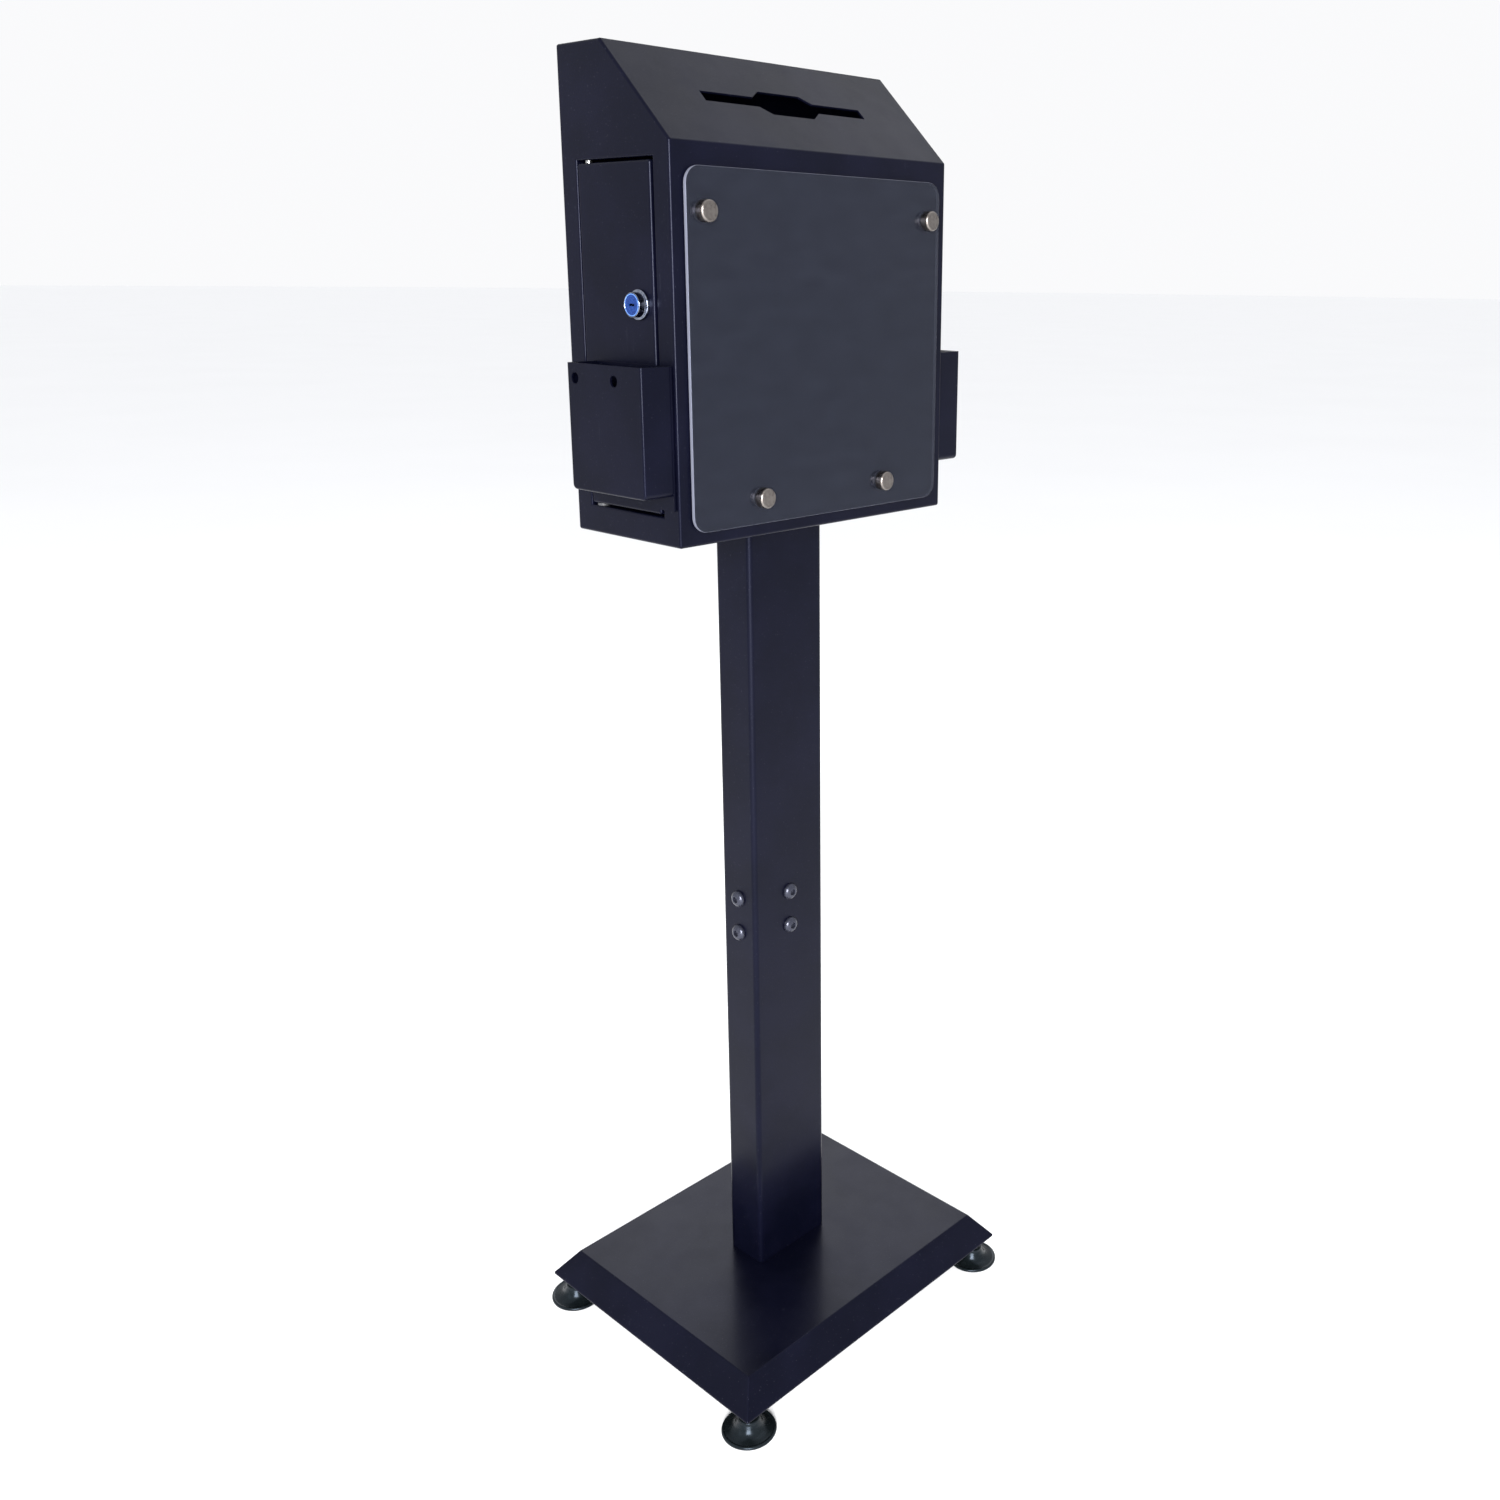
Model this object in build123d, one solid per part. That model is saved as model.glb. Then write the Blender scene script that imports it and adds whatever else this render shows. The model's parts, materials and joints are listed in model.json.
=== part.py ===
from build123d import *
import os
from math import atan2, cos, degrees, hypot, radians, sin

# Free-standing deposit and payment box on a rectangular post with a levelling base.
# Row frame: millimetres, +Z up, origin on the floor under the middle of the post.
# The sign face looks along -Y; the lockable door is on the -X side.

os.makedirs("parts", exist_ok=True)

# ---- housing -------------------------------------------------------------------------------------
box_width = 280.0
box_depth = 119.0
box_front_height = 272.0
box_height = 339.0
box_top_depth = 49.0
wrap_sheet = 1.5
wrap_bend = 2.0
side_sheet = 2.0
side_edge_round = 1.8
seam_gap = 0.02
rim_flange_depth = 10.0
rim_clearance = 0.1

# ---- deposit slot, measured in the plane of the slope --------------------------------------------
slot_length = 160.0
slot_height = 10.0
grip_base = 60.0
grip_tip = 41.0
grip_rise = 7.0
grip_round = 3.0

# ---- door, its opening and its hinge -------------------------------------------------------------
opening_margin = 17.75
opening_bottom = 20.5
opening_top = 262.0
jamb_depth = 12.0
jamb_sheet = 1.5
jamb_round = 1.4
door_gap = 2.0
door_sheet = 1.5
door_proud = 0.8
door_flange_setback = 0.3
door_round = 1.8
hinge_inset_from_jamb = 7.9
hinge_behind_face = 5.0
hinge_pin_d = 5.0
hinge_pin_clearance = 0.1
hinge_pin_seat_clearance = 0.03
hinge_head_d = 8.0
hinge_head_h = 1.5
hinge_head_clearance = 0.1
hinge_washer_d = 9.0
hinge_washer_clearance = 0.3
stop_overlap = 5.5
stop_height = 14.0
stop_from_end = 24.0
stop_clearance = 0.4

# ---- cam lock ------------------------------------------------------------------------------------
lock_above_box_bottom = 166.0
lock_from_door_front = 15.0
lock_flange_d = 21.0
lock_flange_h = 2.2
lock_bezel_d = 16.8
lock_bezel_h = 5.3
lock_barrel_d = 17.0
lock_hole_clearance = 0.15
lock_plug_d = 12.5
plug_clearance = 0.06
keyway_length = 6.5
keyway_width = 1.6
keyway_depth = 9.0
face_ring_d = 15.2
face_ring_h = 1.0
lock_nut_af = 22.0
lock_nut_h = 4.5
cam_length = 26.0
cam_width = 13.0
cam_sheet = 2.0
cam_clearance = 0.5
cam_square = 7.0
cam_screw_d = 4.0
cam_screw_head_d = 8.0
cam_screw_head_h = 2.5

# ---- envelope pockets ----------------------------------------------------------------------------
pocket_rear_from_hinge = 6.85
pocket_height = 89.5
pocket_reach = 27.0
pocket_sheet = 1.5
pocket_corner = 4.0
pocket_bend = 1.6
pocket_bottom = 36.5
pocket_front_from_box_front = 3.5
backplate_lip_rear = 3.0
backplate_lip_front = 0.5
backplate_lip_bottom = 10.0
pocket_screw_front = 30.0
pocket_screw_rear = 9.0
pocket_screw_below_top = 10.5
access_hole_d = 8.0
pocket_screw_d = 4.0
pocket_screw_head_d = 7.6
pocket_screw_head_h = 2.4
pocket_screw_length = 10.0
pocket_nut_af = 7.0
pocket_nut_h = 3.2

# ---- clear sign panel ----------------------------------------------------------------------------
panel_width = 259.0
panel_height = 247.0
panel_bottom = 9.7
panel_sheet = 3.0
panel_corner = 12.0
panel_edge_round = 0.5
panel_gap = 0.5
cap_d = 15.0
cap_h = 7.0
cap_round = 0.8
cap_neck_d = 8.0
cap_neck_clearance = 0.3
cap_upper_x = 114.5
cap_upper_z = 227.7
cap_lower_x = 64.5
cap_lower_z = 29.0
spacer_d = 14.0
sign_screw_d = 5.0
sign_screw_grip = 4.0
sign_screw_head_d = 9.5
sign_screw_head_h = 2.6
sign_washer_d = 10.0
sign_washer_h = 1.0

# ---- post ----------------------------------------------------------------------------------------
post_width = 80.0
post_depth = 40.0
post_wall = 3.0
post_corner = 4.0
post_section_length = 335.0
sleeve_length = 120.0
sleeve_wall = 3.0
sleeve_clearance = 0.3
sleeve_screw_offset = 15.5
m8 = 8.0
m8_head_d = 14.0
m8_head_h = 4.4
m8_socket_af = 5.0
m8_nut_af = 13.0
m8_nut_h = 6.5
m8_length = 14.0
m8_hole_clearance = 0.25
end_plate = 8.0
end_plate_clearance = 0.2
thread_clearance = 0.05

# ---- fixings between the post, the housing and the base ------------------------------------------
top_bolt_d = 6.0
top_bolt_af = 10.0
top_bolt_head_h = 4.0
top_bolt_x = 24.0
top_bolt_y = 8.5
top_plate_width = 120.0
top_plate_depth = 76.0
spreader_sheet = 3.0
washer_h = 1.6
foot_bolt_x = 24.0
foot_bolt_y = 9.0
foot_bolt_head_h = 5.3
foot_plate_width = 150.0
foot_plate_depth = 100.0

# ---- base ----------------------------------------------------------------------------------------
base_top_width = 280.0
base_top_depth = 226.0
base_splay = 19.25
base_rise = 24.5
base_sheet = 2.0
base_flange = 30.0
base_edge_round = 1.6
floor_clearance = 23.0

# ---- levelling feet ------------------------------------------------------------------------------
foot_inset = 15.85
foot_d = 45.0
foot_rim_h = 3.0
foot_groove = 1.0
foot_hub_d = 17.0
foot_hub_h = 14.0
foot_socket_depth = 9.0
foot_fit = 0.1
stud_d = 8.0
stud_ball_d = 10.0
stud_top = 33.0
stud_flats = 6.5
stud_flats_h = 3.0
jam_nut_af = 13.0
jam_nut_h = 4.0
insert_d = 11.0
insert_h = 5.5

# ---- derived levels ------------------------------------------------------------------------------
base_top_z = floor_clearance + base_rise
joint_z = base_top_z + post_section_length
box_z = joint_z + post_section_length
half_w = box_width / 2
half_d = box_depth / 2
knee_z = box_z + box_front_height
top_z = box_z + box_height
slope_y = half_d - box_top_depth
slope_run = slope_y + half_d
slope_drop = box_height - box_front_height
slope_length = hypot(slope_run, slope_drop)
slope_angle = degrees(atan2(slope_drop, slope_run))
opening_half = half_d - opening_margin
opening_z0 = box_z + opening_bottom
opening_z1 = box_z + opening_top
door_face_x = -half_w - door_proud
door_back_x = -half_w + jamb_depth - door_flange_setback
door_half = opening_half - door_gap
door_z0 = opening_z0 + door_gap
door_z1 = opening_z1 - door_gap
hinge_x = -half_w + hinge_behind_face
hinge_y = opening_half - hinge_inset_from_jamb
lock_y = -door_half + lock_from_door_front
lock_z = box_z + lock_above_box_bottom
panel_back_y = -half_d - panel_gap
panel_front_y = panel_back_y - panel_sheet
foot_x = base_top_width / 2 + base_splay - foot_inset
foot_y = base_top_depth / 2 + base_splay - foot_inset


def save(name, shape):
    export_step(shape, f"parts/{name}.step")


def group(solids):
    return Compound(children=list(solids))


def block(x0, x1, y0, y1, z0, z1):
    middle = ((x0 + x1) / 2, (y0 + y1) / 2, (z0 + z1) / 2)
    return Pos(*middle) * Box(x1 - x0, y1 - y0, z1 - z0)


def rod(start, direction, diameter, length):
    """A cylinder that starts at a point and runs along a direction."""
    at = Plane(origin=start, z_dir=direction)
    return at * Cylinder(diameter / 2, length, align=(Align.CENTER, Align.CENTER, Align.MIN))


def hexagon(start, direction, across_flats, length):
    at = Plane(origin=start, z_dir=direction)
    outline = at * RegularPolygon(across_flats / 2, 6, major_radius=False)
    return extrude(outline, amount=length)


def along_x(outline, x0, x1):
    """A prism from x0 to x1 whose outline is given as (y, z) points."""
    at = Plane(origin=(x0, 0, 0), x_dir=(0, 1, 0), z_dir=(1, 0, 0))
    face = make_face(Polyline(*outline, close=True))
    return extrude(at * face, amount=x1 - x0)


def rounded_tube(width, depth, corner, wall, z0, z1):
    outer = extrude(Pos(0, 0, z0) * RectangleRounded(width, depth, corner), amount=z1 - z0)
    hollow = RectangleRounded(width - 2 * wall, depth - 2 * wall, corner - wall)
    return outer - extrude(Pos(0, 0, z0) * hollow, amount=z1 - z0)


def box_outline(inset):
    """The housing's side profile, moved inwards by an even inset."""
    y_front = -half_d + inset
    y_back = half_d - inset
    tilt = radians(slope_angle)
    knee_shift = inset * (1 - sin(tilt)) / cos(tilt)
    ridge_shift = inset * (1 - cos(tilt)) / sin(tilt)
    return [
        (y_front, box_z + inset),
        (y_front, knee_z - knee_shift),
        (slope_y + ridge_shift, top_z - inset),
        (y_back, top_z - inset),
        (y_back, box_z + inset),
    ]


def housing_prism(inset, x0, x1, bend):
    body = along_x(box_outline(inset), x0, x1)
    return fillet(body.edges().filter_by(Axis.X), bend)


# ---- housing wrap: bottom, front, slope, top and back in one folded strip ------------------------
def slope_plane():
    """Origin in the middle of the slope's outer face, x along +X, y up the slope, z outwards."""
    middle = (0, (slope_y - half_d) / 2, (top_z + knee_z) / 2)
    up_slope = (0, slope_run / slope_length, slope_drop / slope_length)
    outwards = Vector(1, 0, 0).cross(Vector(*up_slope))
    return Plane(origin=middle, x_dir=(1, 0, 0), z_dir=outwards)


def slot_cutter():
    straight = Rectangle(slot_length, slot_height)
    tip = slot_height / 2 + grip_rise
    grip = make_face(Polyline(
        (-grip_base / 2, 0), (-grip_base / 2, slot_height / 2), (-grip_tip / 2, tip),
        (grip_tip / 2, tip), (grip_base / 2, slot_height / 2), (grip_base / 2, 0), close=True))
    outer = grip.vertices().sort_by(Axis.Y)[-2:]
    grip = fillet(outer, grip_round)
    outline = straight + grip + mirror(grip, about=Plane.XZ)
    return slope_plane() * extrude(outline, amount=3 * wrap_sheet, both=True)


def cap_places():
    upper = [(side * cap_upper_x, box_z + cap_upper_z) for side in (-1, 1)]
    lower = [(side * cap_lower_x, box_z + cap_lower_z) for side in (-1, 1)]
    return upper + lower


def corner_places(x, y):
    return [(sx * x, sy * y) for sx in (-1, 1) for sy in (-1, 1)]


def make_housing_wrap():
    end = half_w - side_sheet - seam_gap
    wrap = housing_prism(0, -end, end, wrap_bend)
    wrap -= housing_prism(wrap_sheet, -end, end, wrap_bend - wrap_sheet)
    wrap -= slot_cutter()
    for x, z in cap_places():
        wrap -= rod((x, -half_d - 1, z), (0, 1, 0), sign_screw_d + 2 * thread_clearance, wrap_sheet + 2)
    for x, y in corner_places(top_bolt_x, top_bolt_y):
        wrap -= rod((x, y, box_z - 1), (0, 0, 1), top_bolt_d + 0.6, wrap_sheet + 2)
    return wrap


# ---- side panels ---------------------------------------------------------------------------------
def side_blank(side):
    """Flat side sheet with a rounded rim, and the flange inside the wrap that carries it."""
    outer_x = side * half_w
    inner_x = side * (half_w - side_sheet)
    x0, x1 = sorted((outer_x, inner_x))
    sheet = along_x(box_outline(0), x0, x1)
    sheet = fillet(sheet.edges().filter_by(Axis.X), wrap_bend)
    rim = sheet.faces().sort_by(Axis.X)[-1 if side > 0 else 0]
    sheet = fillet(rim.edges(), side_edge_round)
    ring_x0, ring_x1 = sorted((inner_x, side * (half_w - side_sheet - rim_flange_depth)))
    inset = wrap_sheet + rim_clearance
    ring = housing_prism(inset, ring_x0, ring_x1, wrap_bend - wrap_sheet)
    ring -= along_x(box_outline(inset + wrap_sheet), ring_x0, ring_x1)
    return sheet + ring


def make_left_side():
    panel = side_blank(-1)
    inner_x = -half_w + jamb_depth
    jamb = block(-half_w, inner_x, -opening_half - jamb_sheet, opening_half + jamb_sheet,
                 opening_z0 - jamb_sheet, opening_z1 + jamb_sheet)
    opening = block(-half_w - 1, inner_x + 1, -opening_half, opening_half, opening_z0, opening_z1)
    panel = panel + jamb - opening
    mouth = [e for e in panel.edges()
             if abs(e.center().X + half_w) < 0.01
             and abs(e.center().Y) < opening_half + 0.01
             and opening_z0 - 0.01 < e.center().Z < opening_z1 + 0.01]
    panel = fillet(mouth, jamb_round)
    pin_hole = hinge_pin_d + 2 * hinge_pin_seat_clearance
    for z in (opening_z0, opening_z1):
        panel -= rod((hinge_x, hinge_y, z - jamb_sheet - 1), (0, 0, 1), pin_hole, 2 * jamb_sheet + 2)
    return panel


def make_right_side():
    panel = side_blank(1)
    for y, z in pocket_screw_places():
        panel -= rod((half_w - side_sheet - 1, y, z), (1, 0, 0), pocket_screw_d + 0.4, side_sheet + 2)
    return panel


# ---- pockets -------------------------------------------------------------------------------------
pocket_y0 = -half_d + pocket_front_from_box_front
pocket_y1 = hinge_y - pocket_rear_from_hinge
pocket_z0 = box_z + pocket_bottom
pocket_z1 = pocket_z0 + pocket_height


def pocket_screw_places():
    z = pocket_z1 - pocket_screw_below_top
    return [(pocket_y1 - pocket_screw_rear, z), (pocket_y0 + pocket_screw_front, z)]


def side_face(side):
    """X of the face that a pocket is fixed to: the door on the left, the panel on the right."""
    return abs(door_face_x) if side < 0 else half_w


def make_pocket_backplate(side):
    x_in = side_face(side)
    x0, x1 = sorted((side * x_in, side * (x_in + pocket_sheet)))
    plate = block(x0, x1, pocket_y0 - backplate_lip_front, pocket_y1 + backplate_lip_rear,
                  pocket_z0 - backplate_lip_bottom, pocket_z1)
    for y, z in pocket_screw_places():
        plate -= rod((x0 - 1, y, z), (1, 0, 0), pocket_screw_d + 0.4, pocket_sheet + 2)
    return plate


def make_pocket_bin(side):
    x_in = side_face(side) + pocket_sheet
    x_out = half_w + pocket_reach
    x0, x1 = sorted((side * x_in, side * x_out))
    body = block(x0, x1, pocket_y0, pocket_y1, pocket_z0, pocket_z1)
    low = [e for e in body.edges().filter_by(Axis.X) if e.center().Z < pocket_z0 + 1]
    body = fillet(low, pocket_corner)
    outer = body.faces().sort_by(Axis.X)[-1 if side > 0 else 0]
    rims = [e for e in outer.edges() if e.center().Z < pocket_z1 - 1]
    body = fillet(rims, pocket_bend)
    hx0, hx1 = sorted((side * (x_in - 1), side * (x_out - pocket_sheet)))
    hollow = block(hx0, hx1, pocket_y0 + pocket_sheet, pocket_y1 - pocket_sheet,
                   pocket_z0 + pocket_sheet, pocket_z1 + 1)
    low = [e for e in hollow.edges().filter_by(Axis.X) if e.center().Z < pocket_z0 + 5]
    body -= fillet(low, pocket_corner - pocket_sheet)
    for y, z in pocket_screw_places():
        start = side * (x_out - 2 * pocket_sheet)
        body -= rod((start, y, z), (side, 0, 0), access_hole_d, 3 * pocket_sheet)
    return body


def make_pocket_screws(side):
    head_x = side * (side_face(side) + pocket_sheet)
    solids = []
    for y, z in pocket_screw_places():
        head = rod((head_x, y, z), (side, 0, 0), pocket_screw_head_d, pocket_screw_head_h)
        head = fillet(head.faces().sort_by(Axis.X)[-1 if side > 0 else 0].edges(), 1.0)
        socket_x = head_x + side * (pocket_screw_head_h - 1.4)
        head -= hexagon((socket_x, y, z), (side, 0, 0), 2.5, 2.0)
        shank = rod((head_x, y, z), (-side, 0, 0), pocket_screw_d, pocket_screw_length)
        solids.append(head + shank)
    return group(solids)


def make_pocket_nuts(side):
    sheet = door_sheet if side < 0 else side_sheet
    x = side * (side_face(side) - sheet)
    bore = pocket_screw_d + 2 * thread_clearance
    solids = []
    for y, z in pocket_screw_places():
        nut = hexagon((x, y, z), (-side, 0, 0), pocket_nut_af, pocket_nut_h)
        solids.append(nut - rod((x, y, z), (-side, 0, 0), bore, pocket_nut_h))
    return group(solids)


# ---- door ----------------------------------------------------------------------------------------
def make_door():
    x1 = door_back_x
    door = block(door_face_x, x1, -door_half, door_half, door_z0, door_z1)
    corners = door.edges().filter_by(Axis.X)
    door = fillet(corners, door_round)
    door = fillet(door.faces().sort_by(Axis.X)[0].edges(), door_round)
    door -= block(door_face_x + door_sheet, x1 + 1, -door_half + door_sheet, door_half - door_sheet,
                  door_z0 + door_sheet, door_z1 - door_sheet)
    pin_hole = hinge_pin_d + 2 * hinge_pin_clearance
    for z in (door_z0, door_z1):
        door -= rod((hinge_x, hinge_y, z - door_sheet - 1), (0, 0, 1), pin_hole, 2 * door_sheet + 2)
    door -= lock_barrel_shape(lock_hole_clearance, door_face_x - 1, door_face_x + door_sheet + 1)
    for y, z in pocket_screw_places():
        door -= rod((door_face_x - 1, y, z), (1, 0, 0), pocket_screw_d + 0.4, door_sheet + 2)
    return door


def make_hinge_pins():
    """Headed pins: each head lies behind a jamb, flat against the side sheet; the point is in the door."""
    reach = jamb_sheet + door_gap + door_sheet + 2.0
    flat_x = -half_w + side_sheet + hinge_head_clearance
    keep = block(flat_x, hinge_x + hinge_head_d, hinge_y - hinge_head_d, hinge_y + hinge_head_d,
                 opening_z0 - 20, opening_z1 + 20)
    top = rod((hinge_x, hinge_y, opening_z1 + jamb_sheet), (0, 0, -1), hinge_pin_d, reach)
    top += rod((hinge_x, hinge_y, opening_z1 + jamb_sheet), (0, 0, 1), hinge_head_d, hinge_head_h)
    low = rod((hinge_x, hinge_y, opening_z0 - jamb_sheet), (0, 0, 1), hinge_pin_d, reach)
    low += rod((hinge_x, hinge_y, opening_z0 - jamb_sheet), (0, 0, -1), hinge_head_d, hinge_head_h)
    return group([top & keep, low & keep])


def make_hinge_washer():
    height = door_gap - hinge_washer_clearance
    washer = rod((hinge_x, hinge_y, opening_z0), (0, 0, 1), hinge_washer_d, height)
    bore = hinge_pin_d + 2 * hinge_pin_clearance
    return washer - rod((hinge_x, hinge_y, opening_z0), (0, 0, 1), bore, height)


def make_stop_tabs():
    """Small angles on the front jamb that the door's front flange closes against."""
    face_x = door_back_x + stop_clearance
    y_jamb = -opening_half - jamb_sheet
    solids = []
    for z in (opening_z0 + stop_from_end, opening_z1 - stop_from_end - stop_height):
        leaf = block(face_x, face_x + jamb_sheet, y_jamb - jamb_sheet,
                     -door_half + door_sheet + stop_overlap, z, z + stop_height)
        leg = block(-half_w + side_sheet + 1, face_x + jamb_sheet, y_jamb - jamb_sheet, y_jamb,
                    z, z + stop_height)
        solids.append(leaf + leg)
    return group(solids)


# ---- cam lock ------------------------------------------------------------------------------------
lock_axis = (1, 0, 0)
cam_x = -half_w + jamb_depth + cam_clearance


def lock_point(x):
    return (x, lock_y, lock_z)


def lock_barrel_shape(clearance, x0, x1):
    """Threaded barrel with two flats, so that it cannot turn in the door."""
    diameter = lock_barrel_d + 2 * clearance
    half_flat = lock_barrel_d * 0.43 + clearance
    round_part = rod(lock_point(x0), lock_axis, diameter, x1 - x0)
    return round_part & block(x0, x1, lock_y - diameter, lock_y + diameter,
                              lock_z - half_flat, lock_z + half_flat)


def make_lock_housing():
    front_x = door_face_x - lock_flange_h - lock_bezel_h
    flange = rod(lock_point(door_face_x), (-1, 0, 0), lock_flange_d, lock_flange_h)
    flange = fillet(flange.faces().sort_by(Axis.X)[0].edges(), 0.9)
    bezel = rod(lock_point(door_face_x), (-1, 0, 0), lock_bezel_d, lock_flange_h + lock_bezel_h)
    bezel = fillet(bezel.faces().sort_by(Axis.X)[0].edges(), 0.8)
    barrel = lock_barrel_shape(0, door_face_x, cam_x - cam_clearance)
    body = flange + bezel + barrel
    bore = lock_plug_d + 2 * plug_clearance
    body -= rod(lock_point(front_x - 1), lock_axis, bore, cam_x - front_x + 2)
    recess = face_ring_d + 2 * plug_clearance
    return body - rod(lock_point(front_x - 1), lock_axis, recess, 1 + face_ring_h)


def make_lock_plug():
    front_x = door_face_x - lock_flange_h - lock_bezel_h + face_ring_h
    plug = rod(lock_point(front_x), lock_axis, lock_plug_d, cam_x - cam_clearance - front_x)
    tail = extrude(Plane(origin=lock_point(cam_x - cam_clearance), z_dir=lock_axis)
                   * Rectangle(cam_square, cam_square), amount=cam_clearance + cam_sheet)
    keyway = block(front_x - 1, front_x + keyway_depth, lock_y - keyway_length / 2,
                   lock_y + keyway_length / 2, lock_z - keyway_width / 2, lock_z + keyway_width / 2)
    hole = rod(lock_point(cam_x - 6), lock_axis, cam_screw_d + 2 * thread_clearance, 12)
    return plug + tail - keyway - hole


def make_lock_face():
    """Coloured ring pressed on the plug, around its keyway."""
    front_x = door_face_x - lock_flange_h - lock_bezel_h
    ring = rod(lock_point(front_x), lock_axis, face_ring_d, face_ring_h)
    ring -= block(front_x - 1, front_x + face_ring_h + 1, lock_y - keyway_length / 2,
                  lock_y + keyway_length / 2, lock_z - keyway_width / 2, lock_z + keyway_width / 2)
    return ring


def make_lock_nut():
    x = door_face_x + door_sheet
    nut = hexagon(lock_point(x), lock_axis, lock_nut_af, lock_nut_h)
    return nut - lock_barrel_shape(thread_clearance, x - 1, x + lock_nut_h + 1)


def make_lock_cam():
    """At rest the cam points up, clear of the jamb; turned a quarter, it is behind the front jamb."""
    round_end = cam_width / 2
    plate = rod(lock_point(cam_x), lock_axis, cam_width, cam_sheet)
    plate += block(cam_x, cam_x + cam_sheet, lock_y - round_end, lock_y + round_end,
                   lock_z, lock_z + cam_length)
    tips = [e for e in plate.edges().filter_by(Axis.X) if e.center().Z > lock_z + cam_length - 1]
    plate = fillet(tips, 3.0)
    side = cam_square + 2 * thread_clearance
    return plate - block(cam_x - 1, cam_x + cam_sheet + 1, lock_y - side / 2, lock_y + side / 2,
                         lock_z - side / 2, lock_z + side / 2)


def make_lock_screw():
    x = cam_x + cam_sheet
    head = rod(lock_point(x), lock_axis, cam_screw_head_d, cam_screw_head_h)
    head = fillet(head.faces().sort_by(Axis.X)[-1].edges(), 1.0)
    head -= hexagon(lock_point(x + cam_screw_head_h - 1.5), lock_axis, 2.5, 2.0)
    return head + rod(lock_point(x), (-1, 0, 0), cam_screw_d, 7.0)


# ---- sign panel and its caps ---------------------------------------------------------------------
def make_sign_panel():
    middle_z = box_z + panel_bottom + panel_height / 2
    at = Plane(origin=(0, panel_back_y, middle_z), x_dir=(1, 0, 0), z_dir=(0, -1, 0))
    panel = extrude(at * RectangleRounded(panel_width, panel_height, panel_corner), amount=panel_sheet)
    panel = fillet(panel.faces().sort_by(Axis.Y)[0].edges(), panel_edge_round)
    panel = fillet(panel.faces().sort_by(Axis.Y)[-1].edges(), panel_edge_round)
    bore = cap_neck_d + 2 * cap_neck_clearance
    for x, z in cap_places():
        panel -= rod((x, panel_back_y + 1, z), (0, -1, 0), bore, panel_sheet + 2)
    return panel


def make_sign_caps():
    """Satin caps with a neck that passes through the panel and takes the screw from inside."""
    solids = []
    for x, z in cap_places():
        cap = rod((x, panel_front_y, z), (0, -1, 0), cap_d, cap_h)
        cap = fillet(cap.faces().sort_by(Axis.Y)[0].edges(), cap_round)
        cap += rod((x, panel_front_y, z), (0, 1, 0), cap_neck_d, panel_sheet + panel_gap)
        bore = sign_screw_d + 2 * thread_clearance
        depth = panel_sheet + panel_gap + sign_screw_grip - 1
        cap -= rod((x, -half_d, z), (0, -1, 0), bore, depth)
        solids.append(cap)
    return group(solids)


def make_sign_spacers():
    solids = []
    for x, z in cap_places():
        ring = rod((x, -half_d, z), (0, -1, 0), spacer_d, panel_gap)
        solids.append(ring - rod((x, -half_d, z), (0, -1, 0), cap_neck_d + 0.2, panel_gap))
    return group(solids)


def make_sign_screws():
    inner_y = -half_d + wrap_sheet
    solids = []
    for x, z in cap_places():
        washer = rod((x, inner_y, z), (0, 1, 0), sign_washer_d, sign_washer_h)
        head = rod((x, inner_y + sign_washer_h, z), (0, 1, 0), sign_screw_head_d, sign_screw_head_h)
        head = fillet(head.faces().sort_by(Axis.Y)[-1].edges(), 1.1)
        socket = hexagon((x, inner_y + sign_washer_h + sign_screw_head_h - 1.5, z), (0, 1, 0), 3.0, 2.0)
        reach = sign_washer_h + wrap_sheet + panel_gap + sign_screw_grip
        shank = rod((x, inner_y + sign_washer_h, z), (0, -1, 0), sign_screw_d, reach)
        solids.append(washer + head - socket + shank)
    return group(solids)


# ---- post ----------------------------------------------------------------------------------------
def side_screw_places():
    """Start points on the post's four faces and the inward direction of each joint screw."""
    places = []
    for dz in (-sleeve_screw_offset, sleeve_screw_offset):
        for s in (-1, 1):
            places.append(((s * post_width / 2, 0, joint_z + dz), (-s, 0, 0)))
            places.append(((0, s * post_depth / 2, joint_z + dz), (0, -s, 0)))
    return places


def drill_joint_holes(shape):
    for start, inwards in side_screw_places():
        shape -= rod(start, inwards, m8 + 2 * m8_hole_clearance, post_wall + sleeve_wall + 1)
    return shape


def make_tube(z0, z1):
    return drill_joint_holes(rounded_tube(post_width, post_depth, post_corner, post_wall, z0, z1))


def make_sleeve():
    width = post_width - 2 * (post_wall + sleeve_clearance)
    depth = post_depth - 2 * (post_wall + sleeve_clearance)
    corner = sleeve_wall + 1.0
    sleeve = rounded_tube(width, depth, corner, sleeve_wall,
                          joint_z - sleeve_length / 2, joint_z + sleeve_length / 2)
    return drill_joint_holes(sleeve)


def outward(start, inwards, distance):
    return tuple(s - i * distance for s, i in zip(start, inwards))


def make_joint_screws():
    solids = []
    for start, inwards in side_screw_places():
        outwards = tuple(-i for i in inwards)
        at = Plane(origin=start, z_dir=outwards)
        profile = make_face(Polyline((0, 0), (m8_head_d / 2, 0), (m8_head_d / 2, 0.6),
                                     (m8_head_d * 0.43, m8_head_h * 0.62), (m8_head_d * 0.27, m8_head_h),
                                     (0, m8_head_h), close=True))
        head = at * revolve(Plane.XZ * profile, Axis.Z)
        head -= hexagon(outward(start, inwards, m8_head_h - 2.6), outwards, m8_socket_af, 4)
        solids.append(head + rod(start, inwards, m8, m8_length))
    return group(solids)


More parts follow.
